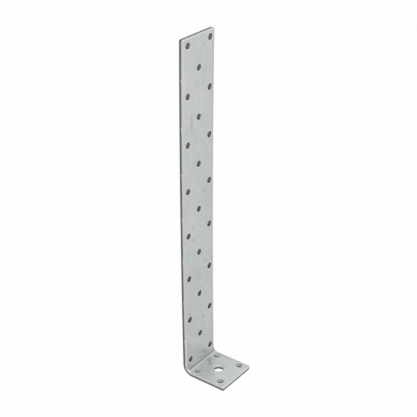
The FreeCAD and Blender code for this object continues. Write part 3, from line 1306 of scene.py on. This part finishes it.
@dataclass(frozen=True)
class GalvanisedFinish:
    """Dull zinc on the faces and rims, bare steel on the cuts, the wear of the press and of handling, and
    painted light and shade.

    The far line counts in shares of the thickness. The painted shade of the mouth and of the ring, and the
    rim, count in nearness to a cut.
    """

    faces: ZincFaces = ZincFaces()
    fold: FoldFinish = FoldFinish()
    cuts: CutFinish = CutFinish()
    mottle: Pattern = Pattern(130.0, 2.0, 0.7)
    grain: Pattern = Pattern(900.0, 3.0, 0.3)
    edge_line: Ramp = Ramp(0.24 * MM, 0.44 * MM)
    right_edge_lower: Ramp = Ramp(17.2 * MM, 18.6 * MM, 0.9 * MM)
    hole_line: Ramp = Ramp(0.08 * MM, 0.20 * MM)
    lit_hole_lower: float = 0.14 * MM
    far_line: Ramp = Ramp(0.997, 0.985)
    # Painted shade: the mouths of the leg's holes dark on the side away from the lamps.
    leg_mouth_shade: Ramp = Ramp(0.88, 0.96)
    # Painted shade: a darker ring round the flange's front nail holes, on the side away from the lamps.
    front_nail_shade_ring: Ramp = Ramp(0.35, 0.75, -0.22)
    metallic: float = 0.38
    roughness: float = 0.27
    mottle_duller: float = 0.12
    rim_duller: Ramp = Ramp(0.4, 0.8, 0.22)
    broken_duller: float = 0.35
    foot_duller: Ramp = Ramp(60.0 * MM, 30.0 * MM, 0.03)
    grain_relief: float = 0.3
    relief_strength: float = 0.07
    relief_depth: float = 0.3 * MM

    def material(self, blank: StripBlank) -> bpy.types.Material:
        """Make the material, which reads the sheet's flat places.

        Args:
            blank: the flat strip.

        Returns:
            The material.
        """
        made = bpy.data.materials.new("galvanised_zinc")
        made.use_nodes = True
        graph = ShaderGraph(made.node_tree)
        at = SheetPlaces(graph, blank)
        mottle, grain = self.mottle.on(graph), self.grain.on(graph)
        face = self.fold.colour(at, self.faces.colour(at, mottle, grain))
        # Painted shade round the front nail holes.
        ring = at.flange_nail * at.unlit * at.flange_end * self.front_nail_shade_ring.of(at.near_cut)
        bare, broken = self._bare(at), self.cuts.broken(at)
        colour = graph.blend(bare, graph.scaled(face, ring + 1.0), self.cuts.colour(at, broken))
        cut = graph.most(self.rim_duller.of(at.near_cut), bare * broken * self.broken_duller)
        foot = self.foot_duller.of(at.along) * at.leg
        roughness = mottle * self.mottle_duller + self.roughness + foot + cut
        relief = mottle + grain * self.grain_relief
        bump = graph.node("ShaderNodeBump", {"Height": relief, "Strength": self.relief_strength,
                                             "Distance": self.relief_depth}).outputs[0]
        feeds = {"Base Color": colour, "Metallic": self.metallic, "Roughness": roughness, "Normal": bump}
        surface = graph.node("ShaderNodeBsdfPrincipled", feeds)
        graph.node("ShaderNodeOutputMaterial", {"Surface": surface.outputs[0]})
        return made

    def _bare(self, at: SheetPlaces) -> Number:
        """Find the bare cuts, which start below the rolled rims, and the painted shade at the mouths of the
        leg's holes.

        Args:
            at: where on the sheet.

        Returns:
            1 on the walls of the outline and the holes, and on the painted shade at the leg holes' mouths
            away from the lamps.
        """
        edge = self.edge_line.of(at.depth - self.right_edge_lower.of(at.across))
        hole = self.hole_line.of(at.depth - at.lit * self.lit_hole_lower) * at.hole
        # Painted shade at the mouths of the leg's holes.
        mouth = self.leg_mouth_shade.of(at.near_cut) * at.hole * at.leg * at.struck * at.unlit
        return at.graph.most(at.graph.most(edge, hole) * self.far_line.of(at.sunk), mouth)


@dataclass(frozen=True)
class AngleBracket:
    """The bracket: one strip of sheet with its holes, its fold and its finish."""

    blank: StripBlank
    finish: GalvanisedFinish = GalvanisedFinish()

    @classmethod
    def from_frame(cls) -> "AngleBracket":
        """Read the bracket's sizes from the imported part.

        Returns:
            The bracket, not yet built.
        """
        low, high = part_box(NODE)
        mounts = {mount["name"]: mount for mount in frame["record"]["mounts"]}
        flange_nails, pairs, centres, anchor = (
            mounts[name] for name in ("flange_nails", "leg_nails_1", "leg_centre_nails_1", "anchor_hole"))
        thickness = flange_nails["pos_m"][2]
        bend_radius = 4.5 * MM
        bend_depth = thickness + bend_radius
        fold = Fold(high.y - bend_depth, thickness, bend_radius, leg_length=high.z - bend_depth)
        edge = CutSection(thickness, roll_width=0.75 * MM, roll_depth=0.6 * MM, smooth_depth=2.05 * MM,
                          lean=0.03 * MM, nip=0.03 * MM)
        column = pairs["dims"]["spacing_x_mm"] * MM / 2.0
        holes = Perforation(
            column=column,
            pairs=cls._leg_row(fold, pairs, column, high.z),
            centres=cls._leg_row(fold, centres, 0.0, high.z),
            flange=cls._flange_row(fold, flange_nails, column),
            anchor=Vector((0.0, fold.along_flange(anchor["pos_m"][1]))),
            nail_radius=pairs["dims"]["hole_r_mm"] * MM,
            anchor_radius=anchor["dims"]["r_mm"] * MM,
            section=CutSection(thickness, roll_width=0.35 * MM, roll_depth=0.3 * MM))
        return cls(StripBlank(
            width=high.x - low.x,
            low_end=fold.along_flange(low.y),
            high_end=fold.along_leg(high.z),
            corner_radius=0.8 * MM,
            fold=fold,
            section=edge,
            right_section=replace(edge, roll_width=1.25 * MM, roll_depth=1.25 * MM, bulge=0.30 * MM),
            holes=holes,
            marks=StrokeMarks(first=fold.along_leg(34.0 * MM), pitch=39.0 * MM, count=7)))

    @staticmethod
    def _leg_row(fold: Fold, mount: dict, across: float, top: float) -> HoleRow:
        """Lay out the row up the leg that a mount's holes are the lowest of.

        Args:
            fold: the fold that the row is counted from.
            mount: the mount of the row's lowest holes.
            across: place across the strip.
            top: height of the leg's top.

        Returns:
            The row.
        """
        pitch = mount["dims"]["spacing_y_mm"] * MM
        lowest = mount["pos_m"][2] - pitch / 2.0
        return HoleRow(across, fold.along_leg(lowest), pitch, int((top - lowest) / pitch) + 1)

    @staticmethod
    def _flange_row(fold: Fold, mount: dict, across: float) -> HoleRow:
        """Return the row of nail holes along one side of the flange."""
        pitch = mount["dims"]["spacing_y_mm"] * MM
        return HoleRow(across, fold.along_flange(mount["pos_m"][1] - pitch / 2.0), pitch, count=2)

    def build(self) -> bpy.types.Object:
        """Make the bracket and set it on the frame.

        Returns:
            The finished piece.
        """
        blank = self.blank
        sheet = bpy.data.objects.new(PIECE, blank.mesh())
        bpy.context.scene.collection.objects.link(sheet)
        section = blank.holes.section.curve("punched_section")
        blank.holes.punch(sheet, section)
        blank.fold.bend(sheet, self.finish.material(blank))
        shaped = sheet.evaluated_get(bpy.context.evaluated_depsgraph_get())
        folded = bpy.data.meshes.new_from_object(shaped)
        sheet.modifiers.clear()
        sheet.data = folded
        bpy.data.objects.remove(section)
        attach(sheet, BODY)
        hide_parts(NODE)
        return sheet


@dataclass(frozen=True)
class Lamp:
    """One soft square lamp that points at the bracket."""

    name: str
    place: tuple[float, float, float]
    size: float
    power: float

    def build(self, aim: Vector) -> None:
        """Hang the lamp.

        Args:
            aim: the point that it is turned to.
        """
        data = bpy.data.lights.new(self.name, "AREA")
        data.size = self.size
        data.energy = self.power
        made = bpy.data.objects.new(self.name, data)
        made.location = self.place
        made.rotation_euler = (aim - made.location).to_track_quat("-Z", "Y").to_euler()
        bpy.context.scene.collection.objects.link(made)


@dataclass(frozen=True)
class Studio:
    """The pale floor, the soft light, and the camera where the photograph was taken from."""

    aim: tuple[float, float, float] = (0.01253, 0.02019, 0.14763)
    distance: float = 0.8405
    turn: float = 53.17
    tilt: float = 27.63
    lens: float = 88.97
    soft_light: float = 0.35
    floor_size: float = 12.0
    floor_level: float = -0.02 * MM
    floor_grey: float = 0.75
    floor_white_share: float = 0.975
    lamps: tuple[Lamp, ...] = (
        Lamp("top_lamp", (-0.30, -0.25, 1.10), 0.6, 5.0),
        Lamp("front_lamp", (-0.38, -0.62, 0.78), 0.5, 3.4),
    )

    def build(self) -> None:
        """Set the whole stage."""
        self._world()
        self._floor()
        for lamp in self.lamps:
            lamp.build(Vector(self.aim))
        self._camera()
        bpy.context.scene.view_settings.view_transform = "Standard"

    @staticmethod
    def _seen(graph: Graph) -> Number:
        """Find the rays that show the backdrop.

        Args:
            graph: the backdrop's or the floor's tree.

        Returns:
            1 for rays from the camera, off gloss and through glass.
        """
        path = graph.node("ShaderNodeLightPath").outputs
        seen = graph.most(path["Is Camera Ray"], path["Is Glossy Ray"])
        return graph.most(seen, path["Is Transmission Ray"])

    def _world(self) -> None:
        """Make the backdrop white and its light on the bracket soft."""
        world = bpy.data.worlds.new("studio")
        world.use_nodes = True
        bpy.context.scene.world = world
        graph = Graph(world.node_tree)
        strength = self._seen(graph) * (1.0 - self.soft_light) + self.soft_light
        backdrop = graph.node("ShaderNodeBackground", {"Color": WHITE, "Strength": strength})
        graph.node("ShaderNodeOutputWorld", {"Surface": backdrop.outputs[0]})

    def _floor(self) -> None:
        """Lay the floor under the flange."""
        half, level = self.floor_size / 2.0, self.floor_level
        data = bpy.data.meshes.new("studio_floor")
        corners = [(-half, -half, level), (half, -half, level), (half, half, level), (-half, half, level)]
        data.from_pydata(corners, [], [(0, 1, 2, 3)])
        floor = bpy.data.objects.new("studio_floor", data)
        bpy.context.scene.collection.objects.link(floor)
        paint = bpy.data.materials.new("white_floor")
        paint.use_nodes = True
        graph = Graph(paint.node_tree)
        grey = self.floor_grey
        matt = graph.node("ShaderNodeBsdfDiffuse", {"Color": (grey, grey, grey, 1.0)})
        white = graph.node("ShaderNodeEmission", {"Color": WHITE, "Strength": 1.0})
        share = self._seen(graph) * self.floor_white_share
        both = graph.node("ShaderNodeMixShader", {0: share, 1: matt.outputs[0], 2: white.outputs[0]})
        graph.node("ShaderNodeOutputMaterial", {"Surface": both.outputs[0]})
        data.materials.append(paint)

    def _camera(self) -> None:
        """Stand the camera where the photograph was taken from."""
        data = bpy.data.cameras.new("camera")
        data.lens = self.lens
        camera = bpy.data.objects.new("camera", data)
        tilt, turn = QUARTER_TURN - math.radians(self.tilt), math.radians(-self.turn)
        camera.rotation_euler = Euler((tilt, 0.0, turn))
        back = camera.rotation_euler.to_matrix() @ Vector((0.0, 0.0, self.distance))
        camera.location = Vector(self.aim) + back
        bpy.context.scene.collection.objects.link(camera)
        bpy.context.scene.camera = camera


def main() -> None:
    """Build the bracket, then the studio round it."""
    logging.basicConfig(level=logging.INFO)
    bracket = AngleBracket.from_frame().build()
    log.info("%s: %d faces", bracket.name, len(bracket.data.polygons))
    Studio().build()


if __name__ == "__main__":
    main()
